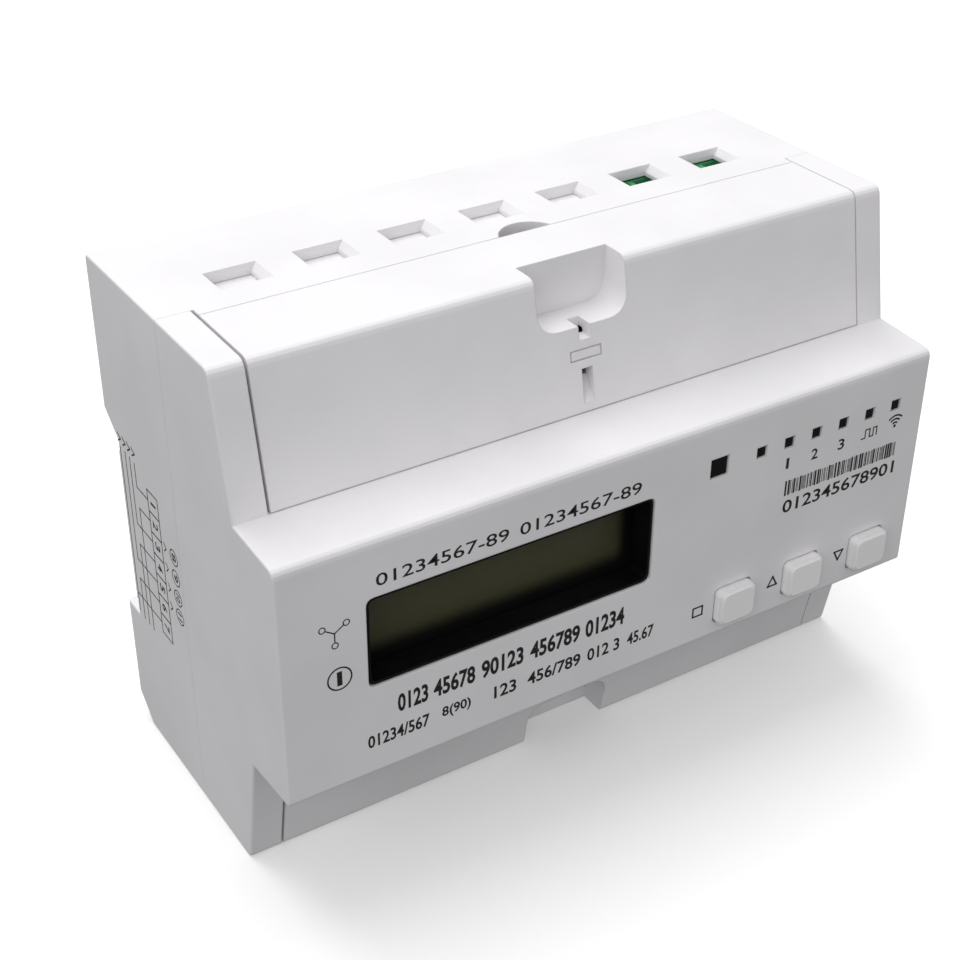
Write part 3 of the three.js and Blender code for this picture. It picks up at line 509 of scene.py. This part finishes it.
class Print:
    """Marks printed on one plane, each a thin closed solid, gathered into one mesh."""

    def __init__(self, name, place):
        self.name = name
        self.place = place
        self.form = bmesh.new()

    def rings(self, loops):
        """A closed solid between an outer loop and, if there is one, an inner loop of as many points."""
        levels = []
        for w in (INK_UNDER, INK_OVER):
            levels.append([[self.form.verts.new(self.place(u, v, w)) for u, v in loop] for loop in loops])
        count = len(loops[0])
        for n, (under, over) in enumerate(zip(*levels)):
            for k in range(count):
                j = (k + 1) % count
                quad = (under[k], under[j], over[j], over[k])
                self.form.faces.new(quad if n == 0 else quad[::-1])
        if len(loops) == 1:
            self.form.faces.new(levels[0][0][::-1])
            self.form.faces.new(levels[1][0])
            return
        for n, (outer, inner) in enumerate(levels):
            for k in range(count):
                j = (k + 1) % count
                quad = (outer[k], outer[j], inner[j], inner[k])
                self.form.faces.new(quad if n else quad[::-1])

    def stroke(self, a, b, width):
        """A straight line with square ends."""
        a, b = Vector(a), Vector(b)
        along = (b - a).normalized() * width / 2
        across = Vector((-along.y, along.x))
        self.rings([[a - along - across, b + along - across, b + along + across, a - along + across]])

    def path(self, points, width):
        """Straight lines from point to point."""
        for a, b in zip(points, points[1:]):
            self.stroke(a, b, width)

    def box(self, u0, v0, u1, v1, width):
        self.path([(u0, v0), (u1, v0), (u1, v1), (u0, v1), (u0, v0)], width)

    def circle(self, u, v, radius, width, points=32):
        turns = [2 * math.pi * k / points for k in range(points)]
        loops = []
        for r in (radius + width / 2, radius - width / 2):
            loops.append([(u + r * math.cos(t), v + r * math.sin(t)) for t in turns])
        self.rings(loops)

    def arc(self, u, v, radius, start, end, width, points=12):
        turns = [math.radians(start + (end - start) * k / points) for k in range(points + 1)]
        outer, inner = (
            [(u + r * math.cos(t), v + r * math.sin(t)) for t in turns]
            for r in (radius + width / 2, radius - width / 2)
        )
        self.rings([outer + inner[::-1]])

    def dot(self, u, v, radius, points=16):
        turns = [k * math.pi * 2 / points for k in range(points)]
        self.rings([[(u + radius * math.cos(t), v + radius * math.sin(t)) for t in turns]])

    def number(self, text, u0, v0, u1, v1, down=False, bold=0.014):
        """Figures that fill the box, read left to right or, with `down`, from the top down."""
        curve = bpy.data.curves.new("figures", "FONT")
        curve.body = text
        curve.extrude = 0.5  # only for its two sides; the ink's real thickness is set below
        curve.offset = bold
        curve.resolution_u = 3
        made = link("figures", curve)
        bpy.context.view_layer.update()
        graph = bpy.context.evaluated_depsgraph_get()
        mesh = bpy.data.meshes.new_from_object(made.evaluated_get(graph))
        bpy.data.objects.remove(made)
        flat = [(p.co.x, p.co.y) for p in mesh.vertices]
        low = [min(c[k] for c in flat) for k in (0, 1)]
        high = [max(c[k] for c in flat) for k in (0, 1)]
        for vertex in mesh.vertices:
            s = (vertex.co.x - low[0]) / (high[0] - low[0])
            t = (vertex.co.y - low[1]) / (high[1] - low[1])
            w = INK_OVER if vertex.co.z > 0 else INK_UNDER
            if down:
                vertex.co = self.place(u0 + t * (u1 - u0), v1 - s * (v1 - v0), w)
            else:
                vertex.co = self.place(u0 + s * (u1 - u0), v0 + t * (v1 - v0), w)
        self.form.from_mesh(mesh)
        bpy.data.meshes.remove(mesh)

    def finish(self):
        """Puts the marks on the housing as one piece."""
        bmesh.ops.recalc_face_normals(self.form, faces=self.form.faces)
        mesh = bpy.data.meshes.new(self.name)
        self.form.to_mesh(mesh)
        self.form.free()
        piece = link(self.name, mesh)
        dress(piece, "housing", INK)


def bars(print_, u0, u1, v0, v1, seed):
    """A row of upright bars of mixed widths."""
    chance = random.Random(seed)
    u = u0
    while u < u1 - 0.3:
        width = chance.choice(BAR_WIDTHS)
        print_.stroke((u + width / 2, v0), (u + width / 2, v1), width)
        u += width + chance.choice(BAR_GAPS)


# Lines of figures on the face: bottom, top and weight of a line, then figures, left and right of each word.
FACE_LINES = (
    (59.35, 61.55, 0.005, (("01234567-89", -46.7, -23.6), ("01234567-89", -21.6, 1.4))),
    (
        34.5,
        38.0,
        0.03,
        (
            ("0123", -43.6, -38.2),
            ("45678", -37.2, -29.6),
            ("90123", -28.4, -20.5),
            ("456789", -19.2, -9.5),
            ("01234", -8.4, -0.6),
        ),
    ),
    (
        29.5,
        32.0,
        0.02,
        (
            ("01234/567", -49.0, -38.0),
            ("8(90)", -35.7, -30.4),
            ("123", -26.0, -21.8),
            ("456/789", -19.6, -9.2),
            ("012 3", -7.8, -1.3),
            ("45.67", 0.3, 5.8),
        ),
    ),
)


def front_print():
    """The figures and signs on the face."""
    p = Print("front_print", on_face)
    for v0, v1, weight, words in FACE_LINES:
        for text, u0, u1 in words:
            p.number(text, u0, v0, u1, v1, bold=weight)
    star = Vector((-53.8, 53.7))  # the middle of the three-phase sign
    for u, v in ((-55.8, 55.0), (-51.8, 55.0), (-53.8, 51.5)):
        p.circle(u, v, 0.52, 0.18, 20)
        tip = Vector((u, v))
        p.stroke(tip + (star - tip).normalized() * 0.6, star, 0.2)
    p.circle(-53.3, 45.2, 2.0, 0.26, 40)
    p.number("1", -53.75, 43.9, -52.9, 46.5)
    for text, u, half in (("1", 32.2, 0.3), ("2", 38.2, 0.7), ("3", 44.2, 0.7)):
        p.number(text, u - half, 53.8, u + half, 55.9)
    pulse = [(48.9, 54.3), (49.7, 54.3), (49.7, 55.9), (50.7, 55.9), (50.7, 54.3), (51.5, 54.3)]
    p.path([*pulse, (51.5, 55.9), (52.3, 55.9), (52.3, 54.3)], 0.24)
    for radius in (0.75, 1.45, 2.15):
        p.arc(56.6, 54.6, radius, 45, 135, 0.34)
    p.dot(56.6, 54.65, 0.3)
    bars(p, 32.2, 57.8, 48.5, 51.1, 11)
    p.number("012345678901", 32.2, 44.7, 57.9, 47.3)
    p.box(14.2, 29.8, 16.2, 31.6, 0.32)
    p.path([(30.8, 29.9), (32.8, 29.9), (31.8, 31.8), (30.8, 29.9)], 0.34)
    p.path([(46.1, 31.7), (48.1, 31.7), (47.1, 29.8), (46.1, 31.7)], 0.34)
    p.finish()


def side_print():
    """The wiring diagram: four supply lines tapped to seven numbered terminals."""
    p = Print("side_print", on_side)
    line = 0.24
    pitch = 4.1
    boxes = [56.7 - pitch * k for k in range(8)]  # the top of each numbered box, and the bottom of the last
    middle = [v - pitch / 2 for v in boxes]
    for k in range(7):
        p.box(14.5, boxes[k + 1], 18.6, boxes[k], line)
        narrow = 0.25 if k == 0 else 0.7
        p.number(str(k + 1), 15.6, middle[k] - narrow, 17.6, middle[k] + narrow, down=True)
    p.path([(10.0, 59.2), (10.0, middle[0]), (14.5, middle[0])], line)
    for u, box in ((8.1, 2), (6.2, 4), (4.2, 6)):
        p.path([(u, 59.4), (u, middle[box]), (14.5, middle[box])], line)
        p.path([(14.5, middle[box - 1]), (u + 2, middle[box - 1]), (u + 2, 25.6)], line)
    p.stroke((4.2, middle[6]), (4.2, 26.2), line)
    for n, v in enumerate((48.4, 44.4, 40.4, 36.6)):
        p.circle(23.4, v, 1.45, 0.2, 28)
        p.number(str(8 + n), 22.6, v - 0.75, 24.2, v + 0.75, down=True)
        p.path([(19.6, v + 0.8), (20.4, v), (19.6, v - 0.8)], 0.24)
    for u in (4.2, 6.2, 8.1, 10.0):
        p.path([(u - 0.6, 60.4), (u + 0.6, 61.2), (u - 0.6, 61.9)], 0.28)
    p.finish()


front_print()
side_print()


# ---- Floor, light and camera -------------------------------------------------------------------------
def floor():
    """A floor that catches shadows, but throws no light back on to the meter."""
    mesh = bpy.data.meshes.new("floor")
    half = 4.0  # metres
    corners = [(-half, -half, 0), (half, -half, 0), (half, half, 0), (-half, half, 0)]
    mesh.from_pydata(corners, [], [(0, 1, 2, 3)])
    mesh.materials.append(floor_finish())
    plane = link("floor", mesh)
    plane.location.z = -FLOOR_GAP * MM
    plane.visible_diffuse = False
    plane.visible_glossy = False


def sky(below, horizon, above):
    """Even studio light from above that falls away below the horizon."""
    between = ((0.42, 0.45), (0.5, 1.0))  # height from straight down to straight up, and share of `horizon`
    world = bpy.data.worlds.new("studio")
    world.use_nodes = True
    bpy.context.scene.world = world
    nodes, links = world.node_tree.nodes, world.node_tree.links
    direction = nodes.new("ShaderNodeTexCoord").outputs["Generated"]
    split = nodes.new("ShaderNodeSeparateXYZ")
    links.new(direction, split.inputs[0])
    ramp = nodes.new("ShaderNodeValToRGB")
    ramp.color_ramp.interpolation = "B_SPLINE"
    stops = ramp.color_ramp.elements
    stops[0].position, stops[0].color = 0.0, (below, below, below, 1)
    stops[1].position, stops[1].color = 1.0, (above, above, above, 1)
    for position, share in between:
        stops.new(position).color = (*[share * horizon] * 3, 1)
    shift = nodes.new("ShaderNodeMapRange")
    shift.inputs[1].default_value = -1.0
    links.new(split.outputs[2], shift.inputs[0])
    links.new(shift.outputs[0], ramp.inputs[0])
    links.new(ramp.outputs[0], nodes["Background"].inputs[0])


def softbox(name, place, side, watts):
    """A square lamp at `place` (metres) that faces the middle of the meter."""
    light = bpy.data.lights.new(name, "AREA")
    light.shape = "RECTANGLE"
    light.size, light.size_y = side, side
    light.energy = watts
    lamp = link(name, light)
    lamp.location = place
    middle = Vector((0, 0, 0.05))
    lamp.rotation_euler = (middle - Vector(place)).to_track_quat("-Z", "Y").to_euler()


def camera(place, azimuth, elevation, roll, lens_mm):
    """The camera, at `place` (metres) on the given side of the meter; 0 degrees is in front and level."""
    a, e, r = (math.radians(x) for x in (azimuth, elevation, roll))
    back = Vector((math.sin(a) * math.cos(e), -math.cos(a) * math.cos(e), math.sin(e)))
    right = (-back).cross(Vector((0, 0, 1))).normalized()
    down = (-back).cross(right)
    right, down = math.cos(r) * right + math.sin(r) * down, math.cos(r) * down - math.sin(r) * right
    data = bpy.data.cameras.new("camera")
    data.lens, data.sensor_width = lens_mm, 36
    data.clip_start, data.clip_end = 0.01, 20
    made = link("camera", data)
    turn = Matrix((right, -down, back)).transposed()
    made.matrix_world = Matrix.Translation(place) @ turn.to_4x4()
    bpy.context.scene.camera = made


floor()
sky(below=0.0, horizon=0.72, above=0.55)
softbox("softbox_above", (0.0, 0.35, 1.0), side=0.8, watts=6.5)
softbox("softbox_left", (-0.85, -0.5, 0.7), side=0.7, watts=2.6)
camera((-0.1432, -0.21005, 0.2052), azimuth=-32.449, elevation=32.049, roll=-0.271, lens_mm=64.46)
bpy.context.scene.view_settings.view_transform = "Standard"
bpy.context.scene.view_settings.look = "None"
